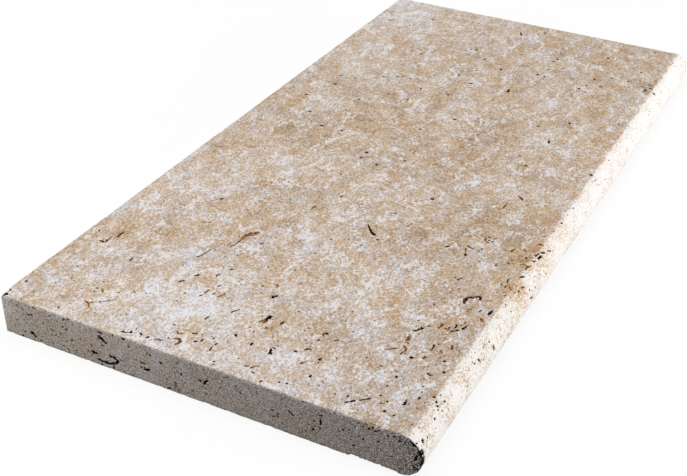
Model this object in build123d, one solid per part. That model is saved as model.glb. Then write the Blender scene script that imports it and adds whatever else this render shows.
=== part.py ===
from build123d import *
import os
from math import cos, radians, sin, tan

# Travertine pool coping: one slab sawn from block, with a full bullnose along
# one long edge and the sharp edges worn round by tumbling.
# +X points at the bullnose, +Y runs along the slab and +Z is up.
# The origin is the middle of the underside. Sizes are in millimetres.

# Slab
length = 610.0
width = 305.0
thickness = 30.0

# Edges as tumbling leaves them
arris_radius = 1.2
corner_radius = 2.5

# The bullnose takes the whole thickness. It stops short of running tangent into
# the faces by this angle, which leaves a soft line along each of them.
nose_edge_angle = 15.0
nose_edge_radius = 5.0

# What follows from those
nose_radius = thickness / 2 / cos(radians(nose_edge_angle))
nose_reach = nose_radius * (1 - sin(radians(nose_edge_angle)))
nose_side = width / 2
near_end = -length / 2

# Lean of the voids' walls from square, and how far their cutters stand proud
void_draft = 12.0
cutter_clearance = 1.0

# Natural voids in the worn top. Each has its distances from the bullnose's
# outermost line and from the near end, then the turn of its tail from +X,
# its mouth's length, the widths of its head and tail, and its depth.
top_voids = [
    ("spoon", 200, 141, -103, 26, 6.5, 1.6, 2.2),
    ("hooked_pit", 286, 84, 78, 12, 3.6, 1.8, 2.5),
    ("star_pit", 137, 61, -94, 10, 4.5, 2.0, 3.0),
    ("leaning_pit", 117, 30, 123, 8, 3.6, 1.8, 3.0),
    ("bent_pit", 176, 15, -68, 9, 3.4, 2.0, 2.6),
    ("forked_crack", 248, 19, 161, 7, 2.2, 1.2, 1.6),
    ("near_slit", 55, 11, 45, 12, 2.0, 1.2, 1.8),
    ("upright_slit", 24, 25, 88, 7, 2.4, 1.2, 2.0),
    ("seam_heel", 49, 82, 92, 7, 2.6, 1.8, 2.0),
    ("seam_bend", 48, 93, 50, 8, 2.6, 1.8, 2.4),
    ("seam_pocket", 28, 103, 42, 10, 2.6, 2.2, 2.6),
    ("torn_void", 33, 142, 34, 12, 3.6, 2.4, 3.2),
    ("torn_leg", 32, 135, 100, 6, 2.6, 2.2, 2.6),
    ("nose_slit", 14, 131, 82, 7, 2.8, 1.6, 2.5),
    ("tailed_pit", 122, 183, 128, 13, 4.0, 1.6, 2.6),
    ("shallow_patch", 47, 213, 62, 10, 6.5, 4.0, 1.6),
    ("long_slit", 54, 188, 113, 12, 2.4, 1.2, 2.0),
    ("thin_slit", 54, 261, 92, 10, 2.2, 1.0, 1.6),
    ("winged_pit", 46, 280, 145, 8, 3.2, 1.4, 2.2),
    ("far_pit", 124, 452, 95, 8, 4.0, 1.8, 2.8),
    ("far_corner_pit", 159, 580, 120, 8, 3.2, 1.6, 2.2),
]

# Voids in the bullnose. Each has its angle up from the horizontal and its
# distance from the near end, then the turn of its tail from +Y, and sizes as above.
nose_voids = [
    ("nose_crevice", 60, 221, -28, 12, 2.8, 1.6, 2.2),
    ("nose_pit", 60, 210, 0, 6, 2.6, 2.0, 2.4),
    ("nose_hollow", 26, 110, 60, 10, 6.0, 3.0, 1.6),
    ("nose_end_pit", 39, 7, 0, 5, 3.2, 2.0, 2.4),
]

# Voids in the sawn near end. Each has its distance from the bullnose and its
# height, then the turn of its tail from +X, and sizes as above. The last two
# break through into the bullnose.
end_voids = [
    ("end_low_pit", 282, 7, -50, 7, 3.6, 2.0, 3.5),
    ("end_high_pit", 225, 23, -35, 9, 3.6, 2.0, 3.5),
    ("end_star", 232, 9, 4, 7, 3.6, 1.8, 3.0),
    ("end_eye", 191, 10, 15, 5, 3.0, 2.4, 2.8),
    ("end_comma", 147, 16, 45, 6, 2.6, 1.4, 2.4),
    ("end_upright", 66, 20, -90, 6, 2.0, 1.4, 2.0),
    ("hook_bar", 228, 4, 6, 15, 2.0, 1.8, 2.5),
    ("nose_break", 2, 20, -96, 10, 5.0, 3.6, 2.6),
    ("high_nose_break", 6, 26, -34, 6, 3.4, 2.6, 2.0),
]

# The crevice at the end of the hook's bar, bent back over it
hook_from_nose = 216.0
hook_height = 8.0
hook_bend_radius = 2.8
hook_width = 1.8
hook_depth = 2.5
hook_start_angle = -75.0
hook_sweep = 185.0

# Chips knocked out of the near end's edges. Each has the distance of its start
# from the bullnose, its length along the edge, and its depth below the square edge.
top_edge_chips = [
    ("first_chip", 36, 11, 2.8),
    ("second_chip", 61, 9, 2.2),
    ("left_chip", 275, 5, 2.4),
]
lower_edge_chips = [
    ("long_chip", 47, 32, 1.8),
]
chip_lean = 0.35


def slab_blank():
    """The sawn slab with its bullnose and worn edges, before any voids."""
    nose_start = nose_side - nose_reach
    underside = Line((-nose_side, 0), (nose_start, 0))
    nose = RadiusArc(underside @ 1, (nose_start, thickness), -nose_radius)
    rest = Polyline(nose @ 1, (-nose_side, thickness), (-nose_side, 0))
    section = make_face(underside + nose + rest)
    nose_edges = section.vertices().group_by(Axis.X)[-1]
    section = Plane.XZ * fillet(nose_edges, nose_edge_radius)
    slab = extrude(section, length / 2, both=True)
    back_corners = slab.edges().filter_by(Axis.Z).group_by(Axis.X)[0]
    slab = fillet(back_corners, corner_radius)
    ends = slab.faces().filter_by(Axis.Y)
    back = slab.faces().sort_by(Axis.X)[0]
    return fillet(ends.edges() + back.edges().filter_by(Axis.Y), arris_radius)


def teardrop(head_width, tail_width, run):
    """Outline of a void: round head at the origin, round tail on +X."""
    head = Circle(head_width / 2)
    tail = Pos(run, 0) * Circle(tail_width / 2)
    return make_hull(head.edges() + tail.edges())


def void(mouth_length, head_width, tail_width, depth):
    """A hollow with a teardrop mouth in XY and walls that close in downwards."""
    run = mouth_length - (head_width + tail_width) / 2

    def outline(height):
        spread = 2 * height * tan(radians(void_draft))
        return Pos(0, 0, height) * teardrop(head_width + spread, tail_width + spread, run)

    return loft([outline(cutter_clearance), outline(-depth)], ruled=True)


def on_top(from_nose, from_end):
    return Plane((nose_side - from_nose, near_end + from_end, thickness))


def on_nose(angle, from_end):
    outward = Vector(cos(radians(angle)), 0, sin(radians(angle)))
    centre = Vector(nose_side - nose_radius, near_end + from_end, thickness / 2)
    return Plane(centre + outward * nose_radius, x_dir=(0, 1, 0), z_dir=outward)


def on_end(from_nose, height):
    return Plane((nose_side - from_nose, near_end, height), x_dir=(1, 0, 0), z_dir=(0, -1, 0))


def on_edge(from_nose, height, outward):
    return Plane((nose_side - from_nose, near_end, height), x_dir=(1, 0, 0), z_dir=outward)


def hook_crevice():
    """A groove bent into a hook, square to the near end."""
    bend = CenterArc((0, 0), hook_bend_radius, hook_start_angle, hook_sweep)
    groove = extrude(SlotArc(bend, hook_width), hook_depth, both=True)
    return on_end(hook_from_nose, hook_height) * groove


def edge_chip(chip_length, depth, reach):
    """A spall with one long and one short flank, its length on X, broken downwards."""
    deepest = chip_length * chip_lean
    profile = Plane.XZ * Polygon((0, 0), (deepest, -depth), (chip_length, 0), align=None)
    return extrude(profile, reach, both=True)


def hollows():
    """Everything that is missing from the blank: voids, the crevice and chips."""
    for name, from_nose, from_end, turn, *sizes in top_voids:
        yield on_top(from_nose, from_end) * Rot(0, 0, turn) * void(*sizes)
    for name, angle, from_end, turn, *sizes in nose_voids:
        yield on_nose(angle, from_end) * Rot(0, 0, turn) * void(*sizes)
    for name, from_nose, height, turn, *sizes in end_voids:
        yield on_end(from_nose, height) * Rot(0, 0, turn) * void(*sizes)
    yield hook_crevice()
    for name, from_nose, long, depth in top_edge_chips:
        yield on_edge(from_nose, thickness, (0, -1, 1)) * edge_chip(long, depth, thickness / 2)
    for name, from_nose, long, depth in lower_edge_chips:
        yield on_edge(from_nose, 0, (0, -1, -1)) * edge_chip(long, depth, thickness / 2)


def coping_stone():
    return slab_blank() - list(hollows())


os.makedirs("parts", exist_ok=True)
export_step(coping_stone(), "parts/coping_stone.step")
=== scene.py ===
from math import cos, pi, radians, sin

import bpy
import numpy as np
from mathutils import Euler, Matrix, Vector


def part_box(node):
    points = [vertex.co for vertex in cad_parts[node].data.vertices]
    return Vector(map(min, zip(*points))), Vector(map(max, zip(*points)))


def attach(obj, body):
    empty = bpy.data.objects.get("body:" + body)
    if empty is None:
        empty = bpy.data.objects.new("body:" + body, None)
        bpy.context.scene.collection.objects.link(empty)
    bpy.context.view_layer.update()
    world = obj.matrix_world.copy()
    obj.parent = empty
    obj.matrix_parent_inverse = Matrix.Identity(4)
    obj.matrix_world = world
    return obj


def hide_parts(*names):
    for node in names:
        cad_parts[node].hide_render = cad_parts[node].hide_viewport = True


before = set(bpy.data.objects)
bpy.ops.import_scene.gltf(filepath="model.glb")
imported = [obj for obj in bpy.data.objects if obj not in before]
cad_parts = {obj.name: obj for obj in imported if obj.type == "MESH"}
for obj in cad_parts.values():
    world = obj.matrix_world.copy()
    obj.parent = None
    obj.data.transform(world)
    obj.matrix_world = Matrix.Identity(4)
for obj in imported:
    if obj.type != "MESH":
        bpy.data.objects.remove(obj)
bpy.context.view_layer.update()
mm = 0.001
print("frame loaded")

# The stone's sizes come from the CAD node. Its mesh is worked out in millimetres.
low, high = (np.round(np.array(corner) / mm, 1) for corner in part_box("coping_stone"))
noseSide, nearEnd, topFace = high[0], low[1], high[2]
halfThick = topFace / 2

slab = {
    "noseEdgeAngle": 15,  # degrees by which the nose stops short of tangent, as in the CAD
    "noseEdgeBlend": 0.5,  # softness of the line along the nose
    "arris": 0.7,  # round of the sharp edges
    "backCorner": 1.2,  # round of the two back corners, seen from above
    "cell": 10,  # first mesh
    "topEdge": 5,  # longest mesh edges on each kind of surface
    "noseEdge": 3,
    "nearArrisEdge": 1,
    "arrisEdge": 2.2,
    "hiddenEdge": 9,
    "topSkin": 1,  # depth that still counts as the top
    "lead": 3,  # how far before the nose and behind the near end their finer mesh runs
    "arrisBand": 2.2,  # how far from the edges the mesh counts as arris
    "searches": ((5, 4.5), (2.5, 2.4), (1, 1.2), (0, 0.6)),  # larger triangles look further for voids
    "slack": 1.42,  # how far past the wanted edge a triangle may go
    "sweeps": 24,  # most rounds of splitting
    "landings": 4,  # steps that bring a point onto the surface
    "slitTight": 0.7,  # share of the listed widths that the mouths of the voids keep
    "pitTight": 0.82,
    "slitStray": 1.0,  # share of its half width by which a mouth's outline strays
    "pitStray": 0.4,
    "pitVariety": (0.85, 1.15),
    "scatterRust": 1.6,  # most rust in a scattered pit, as a share of its field's
    "scatterDepth": 0.8,  # its depth, as a share of its width
    "voidEdge": 0.28,  # mesh edge in a void, as a share of its width
    "voidEdgeMost": 0.8,
    "voidEdgeNear": 0.42,  # finest mesh edge in a void, and what the far end adds to it
    "voidEdgeFar": 0.3,
    "hiddenVoidEdge": 1.0,
    "voidReach": 1.2,  # ground around a void that its relief looks at
    "lip": 0.15,  # the wall of a void starts this far outside its mouth
    "wall": 0.5,  # and takes this much ground
    "rustHalo": 0.6,
    "ragged": ((0.4, 2.7, 1), (0.6, 1.2, 2)),  # noise: amount, size and seed
    "tumbled": ((0.08, 38, 6), (0.05, 11, 7)),
    "knocks": ((1.0, 8, 4, 0.1), (0.6, 3, 5, 0.0)),  # the same, and how much of it takes nothing off
    "wear": 0.6,  # depth that knocks have taken off the edges
    "wornBand": 1.5,
    "seed": 515,
}
noseRadius = halfThick / cos(radians(slab["noseEdgeAngle"]))
noseCentre = noseSide - noseRadius
noseStart = noseSide - noseRadius * (1 - sin(radians(slab["noseEdgeAngle"])))


def softMax(a, b, blend):
    near = np.maximum(blend - np.abs(a - b), 0) / blend
    return np.maximum(a, b) + near * near * blend / 4


def roundedBoth(a, b, radius):  # inside both, with a round where they meet
    u, v = a + radius, b + radius
    return np.hypot(np.maximum(u, 0), np.maximum(v, 0)) + np.minimum(np.maximum(u, v), 0) - radius


def sectionAndPlan(p):
    x, y, z = p.T
    faces = np.abs(z - halfThick) - halfThick
    nose = np.hypot(np.maximum(x - noseCentre, 0), z - halfThick) - noseRadius
    section = softMax(faces, nose, slab["noseEdgeBlend"])
    plan = roundedBoth(np.abs(y) - high[1], low[0] - x, slab["backCorner"])
    return section, plan


def slabDistance(p):
    return roundedBoth(*sectionAndPlan(p), slab["arris"])


def slabNormal(p, step=0.02):
    slope = [slabDistance(p + d) - slabDistance(p - d) for d in np.eye(3) * step]
    slope = np.stack(slope, 1)
    return slope / np.linalg.norm(slope, axis=1, keepdims=True)


def ontoSlab(p):
    for landing in range(slab["landings"]):
        p = p - slabNormal(p) * slabDistance(p)[:, None]
    return p


# Each face takes two distances and gives a place on it, with the way out of the stone
def onTop(fromNose, fromEnd):
    return (noseSide - fromNose, nearEnd + fromEnd, topFace), (0, 0, 1)


def onNose(angle, fromEnd):
    outward = np.array((cos(radians(angle)), 0, sin(radians(angle))))
    return np.array((noseCentre, nearEnd + fromEnd, halfThick)) + outward * noseRadius, outward


def onNearEnd(fromNose, height):
    return (noseSide - fromNose, nearEnd, height), (0, -1, 0)


def onFarEnd(fromNose, height):
    return (noseSide - fromNose, -nearEnd, height), (0, 1, 0)


def onBack(fromEnd, height):
    return (low[0], nearEnd + fromEnd, height), (-1, 0, 0)


def onUnderside(fromNose, fromEnd):
    return (noseSide - fromNose, nearEnd + fromEnd, 0), (0, 0, -1)


hiddenFaces = (onFarEnd, onBack, onUnderside)


def onUpperEdge(fromNose, rise):
    return (noseSide - fromNose, nearEnd, topFace + rise), (0, -0.7, 0.7)


def onLowerEdge(fromNose, rise):
    return (noseSide - fromNose, nearEnd, rise), (0, -0.7, -0.7)


class Void:  # a hollow along a path of places on one face
    def __init__(self, face, path, widths, depth, rust=0.0, dark=1.0):
        places, outwards = zip(*(face(*spot) for spot in path))
        self.spine, self.outward = np.array(places, float), np.mean(outwards, axis=0)
        tight, self.stray = slab["slitTight"], slab["slitStray"]
        if len(path) == 1:
            self.spine = np.repeat(self.spine, 2, axis=0)
            tight, self.stray = slab["pitTight"], slab["pitStray"]
        self.outward /= np.linalg.norm(self.outward)
        self.halves = np.linspace(widths[0], widths[-1], len(self.spine)) * tight / 2
        # dark: the share of painted shade in the hollow
        self.depth, self.rust, self.dark = depth, rust, dark
        self.middle = (self.spine.min(0) + self.spine.max(0)) / 2
        self.reach = np.ptp(self.spine, axis=0).max() / 2 + self.halves.max()
        away = (self.middle[1] - nearEnd) / (high[1] - nearEnd)
        finest = slab["voidEdgeNear"] + slab["voidEdgeFar"] * away
        shown = min(max(slab["voidEdge"] * max(widths), finest), slab["voidEdgeMost"])
        self.edge = slab["hiddenVoidEdge"] if face in hiddenFaces else shown

    def gap(self, p):  # distance outside the mouth, its half width, and height over it
        gap, half = np.full(len(p), np.inf), np.ones(len(p))
        for a, b, halfA, halfB in zip(self.spine, self.spine[1:], self.halves, self.halves[1:]):
            run, offset = b - a, p - a
            t = np.clip(offset @ run / max(run @ run, 0.01), 0, 1)
            offset = offset - t[:, None] * run
            offset -= (offset @ self.outward)[:, None] * self.outward
            local = halfA + (halfB - halfA) * t
            away = np.linalg.norm(offset, axis=1) - local
            half = np.where(away < gap, local, half)
            gap = np.minimum(gap, away)
        return gap, half, (p - self.middle) @ self.outward


# Voids of the top that the photograph shows: path as distances from the nose and from
# the near end, width at its two ends, depth, and how far rust takes the place of black
topVoids = [
    # torn group and seam beside the nose
    ([(32.5, 135.5), (33.5, 139), (33, 142.5), (29.5, 144), (26, 147)], (3.4, 3), 3.2, 0.38),
    ([(26, 147), (24.5, 143)], (2.4, 1.4), 2.6, 0.4),
    ([(20, 144.5), (18, 146)], (2, 1.6), 2, 0.5),
    ([(13.5, 131.5), (13, 135.5)], (2.6, 1.6), 2.5, 0),
    ([(20, 131), (19.5, 133.5)], (1.4, 1.2), 1.6, 0.2),
    ([(16, 124.5), (13.5, 121.5)], (2.6, 1.8), 1.8, 0.8),
    ([(48.5, 93), (45, 97.5)], (2.6, 1.8), 2.4, 0.1),
    ([(36.5, 103), (35.5, 107)], (2.4, 2), 2, 0.55),
    ([(32.5, 104), (30, 103.5), (30.5, 106.5)], (2, 1.8), 1.8, 0.75),
    ([(28, 103), (24, 106.5)], (2.6, 2.2), 2.6, 0.45),
    ([(27.5, 110.5), (27, 107.5)], (2, 1.6), 2.2, 0.1),
    ([(22.5, 109), (21.5, 112)], (2.2, 1.6), 2.2, 0),
    ([(23.5, 116), (23.5, 114.5)], (1.8, 1.4), 1.6, 0.5),
    ([(48.5, 82.5), (49, 86.5)], (2.6, 1.8), 2, 0.4),
    ([(48, 75), (45.5, 73.5), (45, 70.5)], (1.8, 1.6), 1.6, 0.8),
    ([(46.5, 67), (46, 68.5)], (1.6, 1.4), 1.6, 0.3),
    ([(23.5, 57.5), (21, 56.5)], (2, 1.6), 2, 0),
    ([(21.5, 89.5), (20, 86.5)], (2.2, 1.6), 2, 0.45),
    ([(31.5, 85), (31, 79)], (1.6, 1.2), 1.2, 0.3),
    ([(32, 69), (32, 71.5), (30.5, 71)], (1.4, 1.2), 1.4, 0.8),
    ([(25.5, 81.5), (24, 79.5)], (1.8, 1.4), 1.6, 0.8),
    ([(55, 11), (51, 14.5)], (2, 1.6), 1.8, 0),
    ([(48.5, 16.5), (44, 20.5)], (1.8, 1.4), 1.8, 0),
    ([(24, 25), (24.5, 28.5)], (2.4, 1.6), 2, 0),
    ([(57, 66), (51, 71)], (1.2, 0.9), 1.2, 0.2),
    # second quarter
    ([(49.5, 213), (49.5, 216)], (2.4, 1.8), 1.6, 0.7),
    ([(48.5, 218.5), (46, 217.5)], (2.2, 1.6), 1.6, 0.6),
    ([(44.5, 217.5), (43, 219)], (1.8, 1.4), 1.4, 0.75),
    ([(47.5, 211.5), (45.5, 211.5)], (2.2, 1.6), 1.6, 0.65),
    ([(44, 213.5), (43.5, 215)], (1.8, 1.4), 1.6, 0.6),
    ([(46.5, 214), (46.5, 215)], (1.8, 1.6), 1.2, 0.9),
    ([(70, 192.5), (69, 193.5)], (2.4, 2), 2, 0),
    ([(63.5, 198), (62, 198)], (2, 1.8), 1.8, 0.4),
    ([(57.5, 200.5), (55.5, 199.5), (52.5, 198.5)], (1.6, 1.2), 1.8, 0.1),
    ([(54, 188), (55, 191.5)], (2, 1.6), 2, 0.4),
    ([(55.5, 193.5), (57.5, 197)], (1.4, 1.2), 1.6, 0.55),
    ([(27.5, 209), (26.5, 212.5)], (2, 1.6), 2, 0.35),
    ([(16, 195.5), (14, 197.5), (11, 195.5), (10.5, 192)], (1.6, 1.8), 1.6, 0.75),
    ([(10.5, 182), (9, 184)], (2.2, 1.8), 2, 0),
    ([(15.5, 165), (15, 167)], (1.8, 1.4), 1.6, 0.4),
    ([(17, 175), (16, 170.5)], (1.6, 1.2), 1.2, 0.8),
    ([(12.5, 166.5), (11, 164)], (1.6, 1.2), 1.2, 0.8),
    ([(47, 158), (45, 162)], (1.2, 0.9), 1.2, 0.2),
    ([(13.5, 226.5), (10.5, 227)], (2.2, 1.6), 2, 0),
    # middle and left of the near half, with the spoon, its tail and the hair beside it
    ([(196.5, 145), (199.5, 142)], (3.4, 6), 1.8, 1),
    ([(199.5, 142), (202, 137), (202, 132.5)], (6.4, 1.8), 1.8, 0.95),
    ([(202, 132.5), (202.5, 124.5), (204, 120.5)], (1.4, 1.2), 1.2, 0.3),
    ([(241, 137.5), (232.5, 141.5)], (1, 0.8), 0.9, 0.4),
    ([(206, 120.5), (206.5, 125)], (1.6, 1.2), 1.4, 0.7),
    ([(217.5, 98.5), (215.5, 101), (215, 105), (214, 110.5)], (1.6, 1.2), 1.6, 0.2),
    ([(205, 79), (203.5, 81)], (2.8, 2), 2.4, 0),
    ([(192.5, 86), (192, 88)], (2.2, 1.6), 2, 0),
    ([(185, 75.5), (184, 77)], (2, 1.6), 2, 0.1),
    ([(188.5, 96), (186.5, 97)], (1.8, 1.4), 1.6, 0.2),
    ([(178.5, 66), (176, 69.5)], (2.2, 1.6), 1.8, 0.8),
    ([(188.5, 65), (188, 68.5)], (1.8, 1.4), 1.6, 0.8),
    ([(189.5, 61), (188.5, 62)], (1.6, 1.4), 1.6, 0.2),
    ([(183, 66), (182.5, 67.5)], (1.6, 1.4), 1.6, 0.2),
    ([(146.5, 82.5), (145, 84.5)], (3.6, 2.6), 2.4, 0.3),
    ([(187.5, 133.5), (186, 135)], (2, 1.6), 2, 0),
    ([(152, 95.5), (150, 94)], (2, 1.6), 1.8, 0.4),
    ([(161.5, 55), (158.5, 60)], (1.6, 1), 1.6, 0.1),
    ([(137, 62.5), (137.5, 59.5), (137.5, 55)], (4.4, 2.4), 3, 0.25),
    ([(138, 58), (140, 55)], (3, 2), 2.4, 0.8),
    ([(137.5, 60), (134.5, 61)], (2.2, 1.4), 2.4, 0.3),
    ([(133, 50.5), (132.5, 51.5)], (2.2, 1.8), 2, 0.4),
    ([(132.5, 32), (132.5, 33.5)], (2.4, 2), 2.2, 0),
    ([(117.5, 30), (119.5, 34.5)], (3.2, 1.6), 3, 0.25),
    ([(119, 35.5), (117, 35)], (1.4, 1.2), 1.6, 0.1),
    ([(105.5, 39), (104, 39)], (2.2, 1.8), 2, 0),
    ([(100.5, 42.5), (99.5, 44.5), (97, 45)], (1.8, 1.4), 1.8, 0),
    ([(96, 30), (93.5, 34)], (2, 1.6), 1.8, 0.5),
    ([(88, 38.5), (87.5, 40)], (2.2, 1.8), 2, 0),
    ([(98, 62), (96.5, 64)], (3.2, 2.8), 1.6, 0.35),
    ([(88, 60), (87, 62)], (2, 1.6), 1.8, 0.4),
    ([(98, 54.5), (97.5, 56)], (1.8, 1.6), 1.8, 0.2),
    ([(146.5, 36), (145, 35)], (2.2, 1.6), 2, 0),
    ([(124.5, 12), (123, 13)], (1.6, 1.4), 1.6, 0.1),
    ([(120.5, 12), (119.5, 14), (117, 16)], (1.2, 1), 1.4, 0.1),
    ([(85, 21.5), (85, 23)], (1.8, 1.6), 1.8, 0.1),
    ([(109, 3.5), (108.5, 5)], (1.8, 1.4), 1.8, 0.1),
    ([(127, 59), (126.5, 61.5)], (2, 1.6), 2, 0),
    # along the near end
    ([(210.5, 5), (210.5, 6)], (2.4, 2), 2.2, 0),
    ([(209.5, 5), (206, 7)], (1.2, 1), 1.4, 0.1),
    ([(205.5, 7), (206, 8)], (2.2, 2), 2, 0),
    ([(199.5, 9), (197.5, 8)], (1.8, 1.4), 1.6, 0.1),
    ([(193.5, 7.5), (193, 8.5)], (2.4, 2), 2.2, 0.35),
    ([(188, 8.5), (183.5, 9.5)], (2, 1.6), 1.6, 0.4),
    ([(177, 15), (175, 16), (173, 14), (173, 12), (174, 10)], (2.4, 2), 2.6, 0.5),
    ([(165, 18), (164, 19)], (2.4, 2), 2.2, 0),
    ([(162, 20.5), (161.5, 22)], (1.8, 1.4), 1.8, 0.1),
    ([(170.5, 24.5), (168.5, 25.5)], (1.8, 1.4), 1.8, 0.2),
    ([(181, 22), (178.5, 20), (176, 21.5)], (1.6, 1.4), 1.6, 0.45),
    ([(172, 41), (172, 44)], (2, 1.4), 2, 0),
    ([(156.5, 25.5), (156.5, 26.5)], (1.8, 1.6), 1.8, 0.4),
    ([(152, 15), (152.5, 19)], (1.4, 1), 1.4, 0.2),
    ([(152, 21), (151.5, 23)], (1.6, 1.2), 1.6, 0.2),
    ([(252, 20.5), (248.5, 20), (246.5, 22.5)], (1.8, 1.4), 1.6, 0.5),
    ([(248.5, 20), (245.5, 16.5)], (1.6, 1.2), 1.6, 0.55),
    ([(241, 25.5), (236.5, 30.5)], (1.2, 0.9), 1.2, 0.1),
    # along the back, with the broken corner
    ([(305, 1), (304.5, 5), (305, 10)], (1.8, 2), 1.2, 0.2),
    ([(288.5, 84), (284.5, 83.5), (284.5, 91)], (2.6, 1.8), 2.4, 0.4),
    ([(281, 94.5), (281, 100)], (2.4, 1.8), 2.2, 0.15),
    ([(255, 73), (255, 76.5)], (2, 1.6), 1.8, 0.5),
    ([(250, 36.5), (248, 34)], (1.6, 1.4), 1.2, 0.9),
    ([(230.5, 44.5), (228.5, 43)], (1.2, 1), 1, 0.8),
    ([(210.5, 68), (209, 70.5)], (2, 1.6), 1.8, 0.1),
    # middle of the slab and the far half
    ([(122.5, 182.5), (126.5, 185.5), (133, 193.5)], (3.8, 1.2), 3, 0.15),
    ([(168, 217), (168, 221)], (1.4, 1.2), 1.4, 0.4),
    ([(179, 193), (178, 197)], (1.4, 1.2), 1.2, 0.7),
    ([(106, 204), (104.5, 209.5)], (1.2, 0.9), 1.2, 0.2),
    ([(54, 261), (54, 269)], (2.2, 1), 1.6, 0.6),
    ([(46, 280), (51, 284)], (3, 1.4), 2.2, 0.5),
    ([(12, 342), (10.5, 341.5)], (3.6, 3), 2.6, 0),
    ([(59, 376), (60, 380)], (2.6, 1.6), 2.2, 0.2),
    ([(55, 418), (56, 420)], (2.4, 1.4), 1.8, 0),
    ([(194, 419), (195, 421)], (2.2, 1.4), 1.8, 0),
    ([(124, 452), (124.5, 457)], (3.8, 1.8), 2.8, 0.1),
    ([(70, 488), (70, 490)], (2.8, 1.8), 2.4, 0),
    ([(132, 511), (126, 513)], (2.4, 1.2), 2, 0.1),
    ([(109, 515), (107, 515)], (3.4, 2.4), 2.6, 0),
    ([(290, 550), (287, 553)], (3, 2), 2, 0.1),
    ([(159, 580), (162, 585)], (3, 1.6), 2.2, 0.1),
]

# Single pits of the top: width, depth and rust, then places
topPits = [
    (2.8, 2.6, 0, [(39, 67), (300.5, 20.5), (302, 3), (303.5, 7)]),
    (2, 2, 0.12, [
        (42.5, 101.5), (19.5, 73), (15.5, 63), (18.5, 34), (31.5, 14.5), (25, 13.5), (39.5, 26),
        (23, 198.5), (34, 23), (11.5, 39.5), (39, 46), (30.5, 187), (19.5, 214), (15.5, 205.5),
        (13.5, 238), (18.5, 167), (159, 89.5), (98.5, 8.5),
        (94, 9.5), (186, 26.5), (143.5, 7), (243, 24.5), (117.5, 177.5), (135.5, 168.5),
        (124, 165.5), (97, 179), (121.5, 216), (115.5, 239),
    ]),
    (1.5, 1.6, 0.3, [
        (35, 20), (36.5, 19.5), (16, 25.5), (14, 32), (21, 45), (40, 35.5), (49, 26.5), (64, 14.5),
        (26, 130.5), (27, 127.5), (48, 79.5), (35, 75), (15.5, 87), (199, 107.5), (195, 118.5),
        (193.5, 113.5), (179, 114), (167.5, 111), (138.5, 104.5), (138.5, 115.5), (191, 140),
        (185, 143.5), (182, 145.5),
        (147.5, 141), (164.5, 149.5), (177, 90.5), (173, 84.5), (168, 65.5), (217.5, 109.5), (87, 36),
        (102.5, 49), (105, 51.5), (132, 16.5), (117, 9), (142.5, 46.5), (138, 44), (109.5, 63.5),
        (110, 60),
        (93, 92.5), (100.5, 73.5), (79, 44.5), (204.5, 11.5), (181.5, 13.5), (142.5, 4.5), (222.5, 19),
        (219.5, 21.5), (269, 30), (282, 50.5), (253.5, 32), (278, 40), (276, 37.5), (273, 36),
        (262.5, 31), (255, 44),
        (252, 45.5), (238.5, 38.5), (219.5, 65.5), (298.5, 92), (222, 46), (149.5, 215.5), (158, 233),
        (189, 228.5), (135, 252), (123.5, 247), (154, 193.5), (179, 208.5),
    ]),
    (2, 1.6, 0.7, [
        (46, 69), (47, 201.5), (48, 198), (23.5, 193.5), (42.5, 186), (31.5, 208), (130, 53), (262.5, 7),
        (254, 36), (200, 58.5), (184.5, 248.5),
    ]),
    (3.2, 2.4, 0.05, [
        (106, 248), (183, 290), (183, 280), (167, 276), (245, 173), (159, 452), (224, 433), (235, 426),
        (270, 410), (77, 401), (266, 391), (196, 394), (259, 333), (237, 314), (62, 331), (72, 344),
        (278, 360),
        (140, 596), (252, 574), (228, 552), (67, 567), (108, 541), (142, 534), (184, 524), (189, 523),
        (169, 508), (113, 499), (64, 515), (54, 502), (147, 494), (218, 504), (226, 490), (237, 492),
        (176, 463),
    ]),
    (2.7, 2, 0.1, [
        (165, 450), (212, 435), (219, 435), (127, 389), (120, 385), (150, 292), (218, 314), (166, 480),
        (168, 420), (162, 348), (256, 411), (215, 396), (233, 374), (144, 378), (66, 498), (50, 525),
        (35, 525),
        (13, 538), (14, 527), (8, 514), (17, 513), (72, 461), (22, 466), (55, 553), (110, 556),
        (97, 524), (110, 534), (75, 576), (106, 498), (31, 603), (13.5, 521), (16.5, 515.5),
        (16.5, 527.5), (20.5, 521), (30, 551),
    ]),
]

# Nose: path as angles up from level and distances from the near end
noseVoids = [
    ([(72, 212), (67, 216)], (2, 1.4), 1.8, 0.55),
    ([(63, 218.5), (57, 221)], (2.4, 1.4), 2.2, 0.4),
    ([(52, 225), (46, 228)], (1.8, 1.2), 1.8, 0.7),
    ([(60, 210.5), (59, 215)], (2.4, 2), 2.4, 0),
    ([(39, 90.5), (33, 91)], (2.2, 1.6), 1.8, 0.4),
    ([(19, 111), (26, 111.5)], (3.6, 3), 1.6, 0.5),
    ([(53, 173.5), (49, 176)], (1.8, 1.4), 1.6, 0.7),
    ([(13, 176.5), (4, 181.5)], (1.8, 1.2), 1.4, 0.8),
    ([(70, 196), (67, 199)], (2, 1.4), 1.6, 0.6),
]
nosePits = [
    (3, 2.4, 0, [(38, 7)]),
    (2, 1.8, 0, [
        (54, 168), (66, 205), (64, 263), (56, 35), (45, 26), (49, 42), (63, 37), (15, 209), (31, 179),
    ]),
    (1.3, 1.3, 0.45, [
        (27, 95), (41, 85.5), (49, 104.5), (60, 163.5), (20, 188), (66, 171), (41, 35.5), (15, 262),
    ]),
    (1.8, 1.5, 0.2, [(34, 12), (70, 248.5), (-8, 136)]),
]

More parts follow.
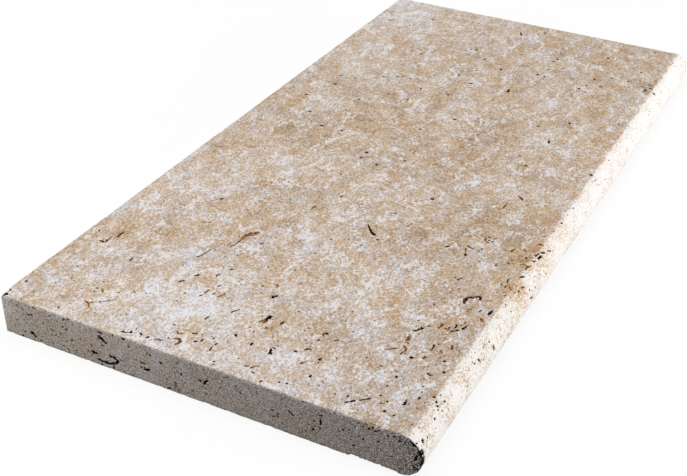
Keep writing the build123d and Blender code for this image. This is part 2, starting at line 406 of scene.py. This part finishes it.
# Near end: path as distances from the nose and heights
endVoids = [
    ([
        (228, 4.5), (225, 4), (219.5, 4), (214, 6.5), (212.5, 8.5), (214.5, 10), (217.5, 10.5),
    ], (2.2, 2.8), 2.6, 0),
    ([(216.5, 4.5), (216.5, 2)], (1.4, 1.2), 1.6, 0.4),
    ([(282, 6.5), (280, 5)], (4.2, 3), 3.5, 0),
    ([(226, 27), (223, 27)], (1.6, 1.4), 2, 0),
    ([(225.5, 23.5), (220.5, 20)], (4, 2.2), 3.5, 0),
    ([(232, 9), (229, 9)], (4, 2.2), 3, 0),
    ([(194, 14.5), (191.5, 14.5)], (2, 1.8), 2, 0),
    ([(191.5, 10), (188.5, 10.5)], (2.8, 2.4), 2.8, 0),
    ([(147, 15.5), (146, 18), (144, 19)], (2, 1.4), 2.4, 0),
    ([(87, 17.5), (83.5, 15.5)], (1.8, 1.2), 1.8, 0),
    ([(66, 19.5), (66, 16)], (1.8, 1.4), 2, 0),
    # the broken end of the nose
    ([(0, 10), (0.5, 14), (0, 17)], (3, 3.6), 2, 0),
    ([(1.5, 20), (2.5, 22)], (3.4, 2.4), 2, 0),
    ([(5.5, 25.5), (8, 27.5)], (2.4, 2), 1.6, 0.1),
    ([(4, 18), (5, 14.5)], (2, 1.4), 1.6, 0),
    ([(2.5, 8), (6, 10)], (1.8, 1.4), 1.6, 0),
    ([(3.5, 4.5), (6, 2.5)], (2, 1.6), 1.4, 0),
]
endPits = [
    (2, 2, 0, [
        (280, 22), (282.5, 21), (255, 21), (248.5, 12.5), (206.5, 28.5), (186.5, 23), (179, 20),
        (164, 16.5), (173.5, 2), (150, 17), (66.5, 23), (51, 18.5), (71, 10.5), (28, 19), (38, 16.5),
        (290.5, 1.5), (252.5, 3.5),
    ]),
    (1.5, 1.4, 0, [
        (36, 28), (34, 26.5), (32, 28), (30, 26), (28, 27.5), (38, 26.5), (22, 26), (18, 27), (15, 25),
    ]),
]

# Chips along the near end's edges, with less painted shade than the voids (the last number)
chips = [
    (onUpperEdge, [(36, 0), (32, 0.5), (27, 0)], (5, 3.4), 1.9, 0, 0.19),
    (onUpperEdge, [(27, 0), (20, 0), (13, 0)], (2.8, 3), 1.2, 0, 0.17),
    (onUpperEdge, [(60, 0), (53, 0)], (3.4, 2.2), 1.3, 0, 0.15),
    (onUpperEdge, [(274, 0), (271, 0)], (3.2, 2.4), 1.3, 0, 0.24),
    (onUpperEdge, [(120, 0), (112, 0)], (2.2, 1.6), 0.9, 0, 0.15),
    (onUpperEdge, [(186, 0), (180, 0)], (2.4, 1.6), 0.9, 0, 0.15),
    (onUpperEdge, [(304, 0), (300, 0)], (3, 2.2), 1.6, 0, 0.22),
    (onLowerEdge, [(46, 0), (30, 0), (16, 0)], (3.4, 2.4), 1.4, 0, 0.08),
]

# Pits too small to place one by one: how many, over which ground, and their size
scatter = [
    {"face": onTop, "count": 60, "over": (300, 600), "size": (1.1, 2.0), "rust": 0.3},
    {"face": onTop, "count": 40, "over": (300, 170), "size": (1.1, 1.8), "rust": 0.4},
    {"face": onTop, "count": 50, "over": (60, 300), "size": (1.1, 1.9), "rust": 0.5},
    {"face": onNose, "count": 60, "over": (72, 600), "size": (0.9, 1.5), "rust": 0.4},
    {"face": onNearEnd, "count": 110, "over": (302, 29), "size": (0.9, 1.7), "rust": 0.0},
    {"face": onFarEnd, "count": 45, "over": (300, 28), "size": (1.6, 3.0), "rust": 0.1},
    {"face": onBack, "count": 60, "over": (600, 28), "size": (1.6, 3.0), "rust": 0.2},
    {"face": onUnderside, "count": 60, "over": (300, 600), "size": (2.2, 4.0), "rust": 0.2},
]

# What is placed one by one, face by face
placed = (
    (onTop, topVoids, topPits),
    (onNose, noseVoids, nosePits),
    (onNearEnd, endVoids, endPits),
)


def allVoids():
    chance = np.random.default_rng(slab["seed"])
    voids = [Void(*row) for row in chips]
    for face, trails, pits in placed:
        voids += [Void(face, *row) for row in trails]
        for width, depth, rust, spots in pits:
            for spot in spots:
                mouth = width * chance.uniform(*slab["pitVariety"])
                voids.append(Void(face, [spot], [mouth], depth, rust))
    for field in scatter:
        small, large = field["size"]
        for _ in range(field["count"]):
            spot = chance.uniform(0.01, 1, 2) * field["over"]
            width = small + (large - small) * chance.random() ** 2  # most of them small
            rust = field["rust"] * chance.random() * slab["scatterRust"]
            voids.append(Void(field["face"], [spot], [width], width * slab["scatterDepth"], rust))
    return voids


voids = allVoids()
print("voids:", len(voids))


# Each void with the points close to it. Points are ranked by strips of X, then by Y.
def nearEachVoid(points, margin):
    strip, far, headroom = 16, 10000, 3.2
    rank = np.floor(points[:, 0] / strip) * far + points[:, 1]
    order = np.argsort(rank)
    ranked = rank[order]
    for void in voids:
        x, y, z = void.middle
        reach = void.reach + margin
        strips = np.arange(np.floor((x - reach) / strip), np.floor((x + reach) / strip) + 1) * far
        firsts = np.searchsorted(ranked, strips + y - reach)
        lasts = np.searchsorted(ranked, strips + y + reach)
        near = order[np.concatenate([np.arange(*span) for span in zip(firsts, lasts)])]
        near = near[np.abs(points[near, 2] - z) < reach]
        gap, half, height = void.gap(points[near])
        close = (gap < margin) & (np.abs(height) < headroom)
        yield void, near[close], gap[close], half[close]


# Mesh: a shell of square cells, split where the stone needs it
def shellOfCells(cell):
    steps = np.round((high - low) / cell).astype(int)
    lines = [np.linspace(a, b, n + 1) for a, b, n in zip(low, high, steps)]
    points, triangles, made = [], [], 0
    for axis in range(3):
        u, v = (axis + 1) % 3, (axis + 2) % 3
        gridU, gridV = np.meshgrid(lines[u], lines[v], indexing="ij")
        for side in (low, high):
            sheet = np.empty(gridU.shape + (3,))
            sheet[..., axis], sheet[..., u], sheet[..., v] = side[axis], gridU, gridV
            index = made + np.arange(gridU.size).reshape(gridU.shape)
            a, b, c, d = index[:-1, :-1], index[1:, :-1], index[1:, 1:], index[:-1, 1:]
            halves = [np.stack(corners, -1).reshape(-1, 3) for corners in ((a, b, c), (a, c, d))]
            halves = np.concatenate(halves)
            triangles.append(halves if side is high else halves[:, ::-1])
            points.append(sheet.reshape(-1, 3))
            made += gridU.size
    points, first = np.unique(np.round(np.concatenate(points), 3), axis=0, return_inverse=True)
    return points, first.ravel()[np.concatenate(triangles)]


# Halves each wanted triangle across its longest edge
def splitLongest(points, triangles, longest, wanted):
    count = len(points)
    ends = np.sort(triangles[:, [[0, 1], [1, 2], [2, 0]]], axis=2)
    edges, edgeOf = np.unique(ends[..., 0] * count + ends[..., 1], return_inverse=True)
    edgeOf = edgeOf.reshape(-1, 3)
    main = np.take_along_axis(edgeOf, longest[:, None], 1)[:, 0]
    cut = np.zeros(len(edges), bool)
    cut[main[wanted]] = True
    while (unmet := cut[edgeOf].any(1) & ~cut[main]).any():  # neighbours follow, so that no gap opens
        cut[main[unmet]] = True
    middle = np.full(len(edges), -1)
    middle[cut] = count + np.arange(cut.sum())
    fresh = (points[edges[cut] // count] + points[edges[cut] % count]) / 2
    turn = (longest[:, None] + np.arange(3)) % 3
    a, b, c = np.take_along_axis(triangles, turn, 1).T
    ab, bc, ca = middle[np.take_along_axis(edgeOf, turn, 1)].T
    whole, cutBC, cutCA = ab < 0, bc >= 0, ca >= 0
    pieces = [
        (whole, (a, b, c)),
        (~whole & ~cutBC, (ab, b, c)), (cutBC, (ab, b, bc)), (cutBC, (ab, bc, c)),
        (~whole & ~cutCA, (ab, c, a)), (cutCA, (ab, c, ca)), (cutCA, (ab, ca, a)),
    ]
    pieces = [np.stack([corner[kept] for corner in corners], 1) for kept, corners in pieces]
    return np.concatenate([points, ontoSlab(fresh)]), np.concatenate(pieces)


def edgeWanted(middles, longest):  # longest mesh edge that suits each place
    wanted = np.full(len(middles), float(slab["hiddenEdge"]))
    wanted[middles[:, 2] > topFace - slab["topSkin"]] = slab["topEdge"]
    wanted[middles[:, 0] > noseStart - slab["lead"]] = slab["noseEdge"]
    section, plan = sectionAndPlan(middles)
    arris = np.maximum(-section, -plan) < slab["arrisBand"]
    wanted[arris] = slab["arrisEdge"]
    wanted[arris & (middles[:, 1] < nearEnd + slab["lead"])] = slab["nearArrisEdge"]
    for size, margin in slab["searches"]:
        large = np.flatnonzero(longest > size)
        for void, near, gap, half in nearEachVoid(middles[large], margin):
            wanted[large[near]] = np.minimum(wanted[large[near]], max(void.edge, size))
    return wanted


def stoneMesh():
    points, triangles = shellOfCells(slab["cell"])
    points = ontoSlab(points)
    for sweep in range(slab["sweeps"]):
        corners = points[triangles]
        lengths = np.linalg.norm(np.roll(corners, -1, axis=1) - corners, axis=2)
        longest = lengths.max(1)
        tooLong = longest > edgeWanted(corners.mean(1), longest) * slab["slack"]
        if not tooLong.any():
            break
        points, triangles = splitLongest(points, triangles, lengths.argmax(1), tooLong)
    return points, triangles


points, triangles = stoneMesh()
print("stone mesh:", len(points), "points,", len(triangles), "triangles")


def noiseAt(points, size, seed):  # smooth random values from -1 to 1
    chance = np.random.default_rng(seed)
    slopes, shuffle = chance.normal(size=(256, 3)), chance.permutation(256)
    cell, within = np.divmod(points / size, 1)
    cell = cell.astype(int)
    ease = within ** 3 * (within * (within * 6 - 15) + 10)
    total = np.zeros(len(points))
    for corner in np.ndindex(2, 2, 2):
        i, j, k = (cell + corner).T
        slope = slopes[shuffle[(shuffle[(shuffle[i & 255] + j) & 255] + k) & 255]]
        share = np.where(corner, ease, 1 - ease).prod(1)
        total += share * (slope * (within - corner)).sum(1)
    return np.clip(total, -1, 1)


def layers(points, rows):  # noise of several sizes
    return sum(amount * noiseAt(points, size, seed) for amount, size, seed in rows)


def smooth(t):
    t = np.clip(t, 0, 1)
    return t * t * (3 - 2 * t)


# Relief: how far each point sinks, how much painted shade its void takes and how rusty
def relief(points):
    sink, pit, rust = np.zeros((3, len(points)))
    ragged = layers(points, slab["ragged"])
    for void, near, gap, half in nearEachVoid(points, slab["voidReach"]):
        warped = gap + half * void.stray * ragged[near]
        inside = smooth((slab["lip"] - warped) / slab["wall"])
        sink[near] = np.maximum(sink[near], void.depth * inside)
        pit[near] = np.maximum(pit[near], inside * void.dark)
        stained = smooth((slab["rustHalo"] - warped) / slab["wall"])
        rust[near] = np.maximum(rust[near], void.rust * stained)
    section, plan = sectionAndPlan(points)
    edge = np.exp(-(np.maximum(-section, -plan) / slab["wornBand"]) ** 2)
    knocks = sum(
        np.maximum(amount * noiseAt(points, size, seed) - least, 0)
        for amount, size, seed, least in slab["knocks"]
    )
    sink = np.maximum(sink, slab["wear"] * edge * knocks)
    sink += layers(points, slab["tumbled"]) + sum(row[0] for row in slab["tumbled"])  # never outwards
    return sink, pit, rust


sink, pit, rust = relief(points)
sunk = points - slabNormal(points) * sink[:, None]
print("relief: deepest", round(sink.max(), 2), "mm")


# One flat map of the stone: the section unrolled, with the two ends in rows above it
def flatMap(points, triangles):
    edgeOn = 0.71  # how squarely a triangle faces along an axis to count as an end or the back
    margin, apart = 4, 6  # millimetres
    normal = slabNormal(points[triangles].mean(1))
    x, y, z = points[triangles].transpose(2, 0, 1)
    ends, back = np.abs(normal[:, 1]) > edgeOn, normal[:, 0] < -edgeOn
    angle = np.arctan2(z - halfThick, x - noseCentre)
    wide, roll = high[0] - low[0], noseRadius * pi
    over = topFace + (x - low[0])
    under = topFace + wide + roll + (high[0] - x)
    middle = x.mean(1)[:, None] > noseStart
    around = np.where(normal[:, 2:] > 0, over, under)
    around = np.where(middle, topFace + wide + noseRadius * (pi / 2 - angle), around)
    around = np.where(back[:, None], z, around)
    full = topFace + 2 * wide + roll + 3 * margin
    tall = high[1] - low[1] + margin + apart
    row = np.where(normal[:, 1:2] < 0, 0, topFace + apart)
    u = np.where(ends[:, None], x - low[0], around) + margin
    v = np.where(ends[:, None], tall + row + z, y - low[1]) + margin
    return np.stack([u, v], -1) / full


def stonePiece():
    mesh = bpy.data.meshes.new("copingStone")
    mesh.from_pydata((sunk * mm).tolist(), [], triangles.tolist())
    mesh.polygons.foreach_set("use_smooth", np.ones(len(triangles), bool))
    for name, values in (("pit", pit), ("rust", rust)):
        mesh.attributes.new(name, "FLOAT", "POINT").data.foreach_set("value", values.astype(np.float32))
    layer = mesh.uv_layers.new(name="OFBake")
    layer.data.foreach_set("uv", flatMap(points, triangles).ravel().astype(np.float32))
    mesh.validate()
    piece = bpy.data.objects.new("coping_stone_worn", mesh)
    bpy.context.collection.objects.link(piece)
    return piece


# Shader maths as Python sums
class Signal:
    def __init__(self, finish, socket):
        self.finish, self.socket = finish, socket

    def maths(self, operation, other=0.0, flipped=False):
        pair = (other, self) if flipped else (self, other)
        return self.finish.node("Math", {"operation": operation}, {0: pair[0], 1: pair[1]})

    def beside(self, name):  # another output of the same node
        return Signal(self.finish, self.socket.node.outputs[name])

    def __add__(self, other):
        return self.maths("ADD", other)

    def __sub__(self, other):
        return self.maths("SUBTRACT", other)

    def __rsub__(self, other):
        return self.maths("SUBTRACT", other, True)

    def __mul__(self, other):
        return self.maths("MULTIPLY", other)

    __radd__, __rmul__ = __add__, __mul__


class Finish:  # the nodes of one material or world
    def __init__(self, owner):
        owner.use_nodes = True
        self.tree = owner.node_tree
        self.tree.nodes.clear()

    def feed(self, socket, value):
        if isinstance(value, Signal):
            self.tree.links.new(value.socket, socket)
        else:
            socket.default_value = value

    def node(self, kind, settings=None, sockets=None, output=0):
        made = self.tree.nodes.new("ShaderNode" + kind)
        for key, value in (settings or {}).items():
            setattr(made, key, value)
        for key, value in (sockets or {}).items():
            self.feed(made.inputs[key], value)
        return Signal(self, made.outputs[output]) if made.outputs else made

    def noise(self, place, size, detail=1.0, rough=0.5, twist=0.0):
        sockets = {"Vector": place, "Scale": 1 / size}
        sockets |= {"Detail": detail, "Roughness": rough, "Distortion": twist}
        return self.node("TexNoise", {"normalize": True}, sockets, "Fac") - 0.5

    def ramp(self, value, start, stop):  # soft step from 0 at start to 1 at stop
        sockets = {"Value": value, "From Min": start, "From Max": stop, "To Min": 0.0, "To Max": 1.0}
        return self.node("MapRange", {"interpolation_type": "SMOOTHSTEP", "clamp": True}, sockets)

    def mark(self, value, start, full, share):  # soft step up to a share of the colour
        return self.ramp(value, start, full) * share

    def shades(self, value, stops):
        made = self.node("ValToRGB", {}, {"Fac": value}, "Color")
        elements = made.socket.node.color_ramp.elements
        while len(elements) < len(stops):
            elements.new(0.5)
        for element, (position, shade) in zip(elements, stops):
            element.position, element.color = position, shade
        return made

    def mix(self, colourA, colourB, share, blend="MIX"):
        settings = {"data_type": "RGBA", "blend_type": blend}
        return self.node("Mix", settings, {0: share, 6: colourA, 7: colourB}, 2)


def colour(red, green, blue):  # screen values from 0 to 255
    return tuple(((c / 255 + 0.055) / 1.055) ** 2.4 for c in (red, green, blue)) + (1.0,)


travertine = {
    "stone": [  # from brown through tan to lime
        (0.08, colour(152, 122, 87)),
        (0.22, colour(179, 152, 121)),
        (0.40, colour(197, 172, 144)),
        (0.50, colour(202, 181, 158)),
        (0.60, colour(206, 193, 184)),
        (0.74, colour(219, 217, 220)),
        (0.90, colour(233, 235, 242)),
    ],
    "ochre": colour(255, 249, 240),  # these two tint the stone
    "lilac": colour(238, 240, 249),
    "nose": [  # ground surface: paler, partly painted light standing in for the bright lamp on the nose, and never quite white
        (0.10, colour(190, 168, 145)),
        (0.30, colour(210, 196, 180)),
        (0.42, colour(221, 213, 203)),
        (0.50, colour(227, 224, 221)),
    ],
    # partly painted shade: the ends are greyer and darker, as an end in shade looks
    "sawn": colour(175, 166, 157),
    "sawnWarm": colour(186, 162, 138),
    "sawnDark": colour(92, 84, 76),
    "sawnPale": colour(222, 224, 229),
    "lime": colour(234, 234, 237),
    # painted shade: the near black of deep voids and chips, and of the shaded corner beside the nose
    "dark": colour(27, 20, 14),
    # dark specks, and painted shade in pinholes
    "speck": colour(92, 74, 58),
    "rust": [
        (0.30, colour(92, 58, 28)),
        (0.52, colour(158, 110, 58)),
        (0.75, colour(208, 164, 110)),
    ],
    "grainTurn": 16,  # degrees about the vertical
    "grainStretch": (1, 0.7, 1),
    # Noise: millimetres of the largest octave, how many more there are, their weight, twist
    "fine": (1.6, 1.0, 0.8),
    "broad": (19, 3.0, 0.85),
    "fleck": (1.4, 1.0, 1.0),
    "drift": (90, 1.0),
    "hue": (24, 3.0, 0.85),
    "hueGrit": (1.2, 1.0),
    "wisp": (14, 3.0, 0.7, 0.6),
    "chalk": (2.2, 2.0, 0.9),
    "vein": (15, 3.0, 0.75, 0.6),
    "veinGround": (32, 2.0),
    "noseLine": (14, 2.0, 0.7),
    "dust": (1.1, 1.0, 0.9),
    "crust": (1.8, 2.0, 0.7),
    "grit": (1.0, 1.5, 0.7),
    # How far noise spreads a tone
    "broadSpread": 0.95,
    "fleckSpread": 1.4,
    "driftSpread": 0.2,
    "hueGritSpread": 0.5,
    "noseSpread": 1.2,
    "rustSpread": 1.6,
    "roughSpread": 0.1,
    # How far noise moves an edge, in millimetres
    "lineStray": 5,
    "lineGrit": 4,
    "endGrit": 3,
    "cornerShadeStray": 20,
    # Middle of the ramps
    "stoneTone": 0.44,
    "noseTone": 0.51,
    "rustTone": 0.5,
    # What one mark adds to another
    "driftToHue": 0.4,
    "driftToWisp": 0.15,
    "farHighlightToNose": 0.1,
    "fineToHole": 0.3,
    "crustToStain": 1.2,
    "bloomToCrust": 0.3,
    "wallToRust": 0.6,
    "crustToRust": 0.9,
    "crustToHollow": 0.2,
    "fineToHeight": 0.8,
    "holeToHeight": 0.9,
    # Soft steps: where each starts and where it is full
    "ochreFrom": (0.0, 0.2),
    "lilacFrom": (0.0, -0.15),
    "veinGroundFrom": (0.0, 0.12),
    "noseFrom": (0.6, 1.8),  # millimetres past the line along the nose
    "endsFrom": (-1.2, -0.5),  # past the ends
    "cornerShadeFrom": (-22, -2),  # past the nose
    "farHighlightFrom": (180, 480),  # from the near end
    "nearFrom": (260, 0),
    "holeFrom": (0.05, 0.0),
    "wallFrom": (0.3, 0.8),
    "rustyFrom": (0.34, 0.6),
    "hollowFrom": (0.08, 0.28),
    # Marks: the same, and the share of the colour that each takes
    "chalkMark": (0.07, 0.16, 0.75),
    "veinMark": (0.03, 0.006, 0.4),
    "warmMark": (-0.03, 0.1, 0.45),
    "paintedEndShade": (-110, noseSide, 0.38),
    "darkDust": (0.05, 0.17, 0.85),
    "paleDust": (-0.05, -0.17, 0.9),
    "cornerShadeMark": (-0.08, 0.1, 0.8),
    "stainMark": (0.35, 0.8, 0.8),
    "bloomMark": (0.22, 0.34, 0.7),
    "sawnShare": 0.5,
    "speckShare": 0.85,
    "speckCell": 3.2,  # millimetres from one speck to the next
    "speckLeast": 0.72,  # share of the cells without one
    "speckGrowth": (0.42, 0.28, 0.5),  # size anywhere, then more at the near end and on both ends
    "softEdge": 1.5,  # reach of a spot of the ground, in radii
    "bump": 0.7,
    "bumpDepth": 0.0006,
    "roughness": 0.85,
    "specular": 0.04,
}

# Broad ground of the top: distance from the nose and from the near end, radius, amount.
# Drifts are lighter or darker, casts are greyer and blooms are rusty.
drifts = [
    (205, 40, 75, 0.18),
    (300, 20, 45, 0.08),
    (300, 600, 120, 0.16),
    (290, 180, 90, 0.08),
    (20, 190, 85, -0.1),
    (50, 40, 60, 0.03),
    (122, 115, 35, 0.1),
    (100, 12, 40, 0.16),
    (15, 40, 35, 0.08),
    (113, 373, 30, -0.16),
    (15, 520, 20, -0.12),
]
casts = [
    (295, 30, 70, 0.1),
    (100, 20, 70, 0.15),
    (20, 50, 60, 0.75),
    (70, 190, 50, 0.25),
]
blooms = [
    (6, 165, 26, 1.0),
    (9, 215, 28, 0.9),
    (16, 262, 26, 0.9),
    (40, 100, 14, 0.6),
]


def travertineFinish():
    look = travertine
    material = bpy.data.materials.new("travertine")
    finish = Finish(material)
    metres = finish.node("TexCoord", output="Object")
    place = finish.node("VectorMath", {"operation": "SCALE"}, {0: metres, "Scale": 1 / mm})
    turn = (0, 0, radians(look["grainTurn"]))
    turned = {"Vector": place, "Rotation": turn, "Scale": look["grainStretch"]}
    grain = finish.node("Mapping", {}, turned)
    across = finish.node("SeparateXYZ", {}, {"Vector": place})
    along = across.beside("Y")
    pitted = finish.node("Attribute", {"attribute_name": "pit"}, output="Fac")
    rusted = finish.node("Attribute", {"attribute_name": "rust"}, output="Fac")

    def ground(spots, total):
        for fromNose, fromEnd, radius, amount in spots:
            spot = (noseSide - fromNose, nearEnd + fromEnd, topFace)
            pair = {0: place, 1: spot}
            away = finish.node("VectorMath", {"operation": "DISTANCE"}, pair, "Value")
            total = total + finish.ramp(away, radius * look["softEdge"], 0.0) * amount
        return total

    # Grain: octaves of nearly equal weight, over the broad drifts of the top
    fine = finish.noise(place, *look["fine"])
    broad = finish.noise(grain, *look["broad"]) * look["broadSpread"]
    fleck = finish.noise(grain, *look["fleck"]) * look["fleckSpread"]
    drift = ground(drifts, finish.noise(grain, *look["drift"]) * look["driftSpread"])
    stone = finish.shades(broad + fleck + drift + look["stoneTone"], look["stone"])

    # Tints, chalky flecks and thin veins
    hue = finish.noise(grain, *look["hue"]) + drift * look["driftToHue"]
    hue = hue + finish.noise(place, *look["hueGrit"]) * look["hueGritSpread"]
    stone = finish.mix(stone, look["ochre"], finish.ramp(hue, *look["ochreFrom"]), "MULTIPLY")
    greyed = ground(casts, finish.ramp(hue, *look["lilacFrom"]))
    stone = finish.mix(stone, look["lilac"], greyed, "MULTIPLY")
    wisp = finish.noise(grain, *look["wisp"]) + drift * look["driftToWisp"]
    chalk = wisp + finish.noise(grain, *look["chalk"])
    stone = finish.mix(stone, look["lime"], finish.mark(chalk, *look["chalkMark"]))
    vein = finish.noise(grain, *look["vein"]).maths("ABSOLUTE")
    veinGround = finish.ramp(finish.noise(grain, *look["veinGround"]), *look["veinGroundFrom"])
    stone = finish.mix(stone, look["lime"], finish.mark(vein, *look["veinMark"]) * veinGround)

    # Bullnose: a paler ground, partly painted light, with a painted highlight that makes it paler
    # towards the far end
    line = finish.noise(place, *look["noseLine"]) * look["lineStray"] + fine * look["lineGrit"]
    nose = finish.ramp(across - noseStart + line, *look["noseFrom"])
    # Painted highlight: the nose grows paler towards the far end
    farNoseHighlight = finish.ramp(along - nearEnd, *look["farHighlightFrom"])
    noseTone = (broad + fleck) * look["noseSpread"] + wisp + look["noseTone"]
    noseTone = noseTone + farNoseHighlight * look["farHighlightToNose"]
    # Painted light: the nose's paler colour stands partly for the bright lamp on it, partly for its
    # paler ground surface
    stone = finish.mix(stone, finish.shades(noseTone, look["nose"]), nose)

    # Sawn ends: grey and dusty, the grey partly painted shade; painted shade darker towards the nose,
    # and a near black painted shade beside it where the broken corner lies
    ends = along.maths("ABSOLUTE") - high[1] + fine * look["endGrit"]
    ends = finish.ramp(ends, *look["endsFrom"])
    dust = finish.noise(place, *look["dust"])
    # Partly painted shade: the grey of the sawn ends also stands for the cooler, darker tone of an end
    # in shade
    stone = finish.mix(stone, look["sawn"], ends * look["sawnShare"])
    stone = finish.mix(stone, look["sawnWarm"], ends * finish.mark(hue, *look["warmMark"]))
    # Painted shade: the end grows darker towards the nose
    stone = finish.mix(stone, look["sawnDark"], ends * finish.mark(across, *look["paintedEndShade"]))
    stone = finish.mix(stone, look["sawnDark"], ends * finish.mark(dust, *look["darkDust"]))
    stone = finish.mix(stone, look["sawnPale"], ends * finish.mark(dust, *look["paleDust"]))
    # Painted shade: near black patches on the end beside the nose, where the broken corner lies in shade
    paintedCornerShade = finish.ramp(across - noseSide + dust * look["cornerShadeStray"], *look["cornerShadeFrom"])
    stone = finish.mix(stone, look["dark"], ends * paintedCornerShade * finish.mark(dust, *look["cornerShadeMark"]))

    # Specks and pinholes: real dark specks, and pinholes too small for the mesh whose dark is painted
    # shade
    celled = {"Vector": place, "Scale": 1 / look["speckCell"]}
    cells = finish.node("TexVoronoi", {"feature": "F1"}, celled, "Distance")
    tint = finish.node("SeparateColor", {}, {"Color": cells.beside("Color")})
    nearness = finish.ramp(along - nearEnd, *look["nearFrom"])
    anywhere, atNear, onEnds = look["speckGrowth"]
    size = (tint - look["speckLeast"]) * (anywhere + nearness * atNear + ends * onEnds)
    hole = finish.ramp(cells + fine * look["fineToHole"] - size, *look["holeFrom"])
    stone = finish.mix(stone, look["speck"], hole * look["speckShare"])

    # Stains, and voids with painted shade: near black in their depth, unless rust takes its place
    crust = finish.noise(place, *look["crust"])
    rustColour = finish.shades(crust * look["rustSpread"] + look["rustTone"], look["rust"])
    stain = rusted + crust * look["crustToStain"]
    stone = finish.mix(stone, rustColour, finish.mark(stain, *look["stainMark"]))
    bloom = crust + ground(blooms, 0.0) * look["bloomToCrust"]
    stone = finish.mix(stone, rustColour, finish.mark(bloom, *look["bloomMark"]))
    wall = 1 - finish.ramp(pitted, *look["wallFrom"])
    rusty = rusted * (1 + wall * look["wallToRust"]) + crust * look["crustToRust"]
    hollow = finish.mix(look["dark"], rustColour, finish.ramp(rusty, *look["rustyFrom"]))
    depth = pitted + crust * look["crustToHollow"]
    # Painted shade: the voids' colour darkens towards their depth
    stone = finish.mix(stone, hollow, finish.ramp(depth, *look["hollowFrom"]))

    height = finish.noise(place, *look["grit"]) + fine * look["fineToHeight"]
    height = height - hole * look["holeToHeight"]
    bumped = {"Strength": look["bump"], "Distance": look["bumpDepth"], "Height": height}
    surface = finish.node("BsdfPrincipled", {}, {
        "Base Color": stone,
        "Roughness": look["roughness"] + fine * look["roughSpread"],
        "Normal": finish.node("Bump", {}, bumped, "Normal"),
        "Specular IOR Level": look["specular"],
    })
    finish.node("OutputMaterial", {}, {"Surface": surface})
    return material


coping = stonePiece()
coping.data.materials.append(travertineFinish())
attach(coping, "root")
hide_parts("coping_stone")
print("coping stone placed")

# Floor, lamps and world
studio = {
    "floorSize": 8.0,
    "floorSeen": 0.88,  # share of plain white in what the camera sees of the floor
    "floor": (0.42, 0.42, 0.42, 1),
    "white": (1, 1, 1, 1),
    "ambient": 0.2,
    "aim": (0, 0, 0.02),
    "sideBox": {"place": (1.9, 0.6, 0.3), "size": (1.7, 0.6), "power": 41},
    "overBox": {"place": (-0.3, -0.1, 1.9), "size": (1.7, 1.7), "power": 27.5},
    "leftBox": {"place": (-0.9, -0.9, 0.4), "size": (0.5, 0.5), "power": 4.9},
}


def seenDirectly(finish):  # 1 for what the camera sees, straight or in a gloss
    camera = finish.node("LightPath", output="Is Camera Ray")
    gloss, through = camera.beside("Is Glossy Ray"), camera.beside("Is Transmission Ray")
    return camera.maths("MAXIMUM", gloss).maths("MAXIMUM", through)


def addFloor():
    half = studio["floorSize"] / 2
    mesh = bpy.data.meshes.new("floor")
    corners = [(-half, -half, 0), (half, -half, 0), (half, half, 0), (-half, half, 0)]
    mesh.from_pydata(corners, [], [(0, 1, 2, 3)])
    floor = bpy.data.objects.new("floor", mesh)
    bpy.context.collection.objects.link(floor)
    material = bpy.data.materials.new("paleFloor")
    finish = Finish(material)
    seen = seenDirectly(finish)
    bounce = finish.node("BsdfDiffuse", {}, {"Color": studio["floor"]})
    paper = finish.node("BsdfDiffuse", {}, {"Color": studio["white"]})
    white = finish.node("Emission", {}, {"Color": studio["white"], "Strength": 1.0})
    sheet = finish.node("MixShader", {}, {0: studio["floorSeen"], 1: paper, 2: white})
    surface = finish.node("MixShader", {}, {0: seen, 1: bounce, 2: sheet})
    finish.node("OutputMaterial", {}, {"Surface": surface})
    mesh.materials.append(material)


def addLamp(name, lamp):
    data = bpy.data.lights.new(name, "AREA")
    data.shape, data.size, data.size_y, data.energy = "RECTANGLE", *lamp["size"], lamp["power"]
    obj = bpy.data.objects.new(name, data)
    obj.location = lamp["place"]
    facing = Vector(lamp["place"]) - Vector(studio["aim"])
    obj.rotation_euler = facing.to_track_quat("Z", "Y").to_euler()
    bpy.context.collection.objects.link(obj)


def addWorld():
    world = bpy.data.worlds.new("studio")
    finish = Finish(world)
    dim = finish.node("Background", {}, {"Color": studio["white"], "Strength": studio["ambient"]})
    white = finish.node("Background", {}, {"Color": studio["white"], "Strength": 1.0})
    mixed = finish.node("MixShader", {}, {0: seenDirectly(finish), 1: dim, 2: white})
    finish.node("OutputWorld", {}, {"Surface": mixed})
    bpy.context.scene.world = world


addFloor()
for name in ("sideBox", "overBox", "leftBox"):
    addLamp(name, studio[name])
addWorld()
print("studio lit")

# Camera, fitted to the slab's outline in the photograph
viewpoint = {
    "azimuth": 25.65, "elevation": 32.15, "roll": 1.45,  # degrees
    "distance": 0.964, "right": -0.0241, "up": -0.0374,  # metres
    "nearest": 0.01,
    "focal": 1179, "frame": 687,  # pixels
    "sensor": 36, "shift": (-0.0502, -0.0102),
}


def addCamera():
    data = bpy.data.cameras.new("photoCamera")
    data.sensor_width = viewpoint["sensor"]
    data.lens = viewpoint["focal"] / viewpoint["frame"] * viewpoint["sensor"]
    data.shift_x, data.shift_y = viewpoint["shift"]
    data.clip_start = viewpoint["nearest"]
    tilt, swing = pi / 2 - radians(viewpoint["elevation"]), radians(viewpoint["azimuth"])
    turn = Euler((tilt, 0, swing)).to_matrix() @ Matrix.Rotation(radians(viewpoint["roll"]), 3, "Z")
    camera = bpy.data.objects.new("photoCamera", data)
    camera.rotation_euler = turn.to_euler()
    camera.location = turn @ Vector((viewpoint["right"], viewpoint["up"], viewpoint["distance"]))
    bpy.context.collection.objects.link(camera)
    bpy.context.scene.camera = camera


addCamera()
bpy.context.scene.view_settings.view_transform = "Standard"
print("camera set")
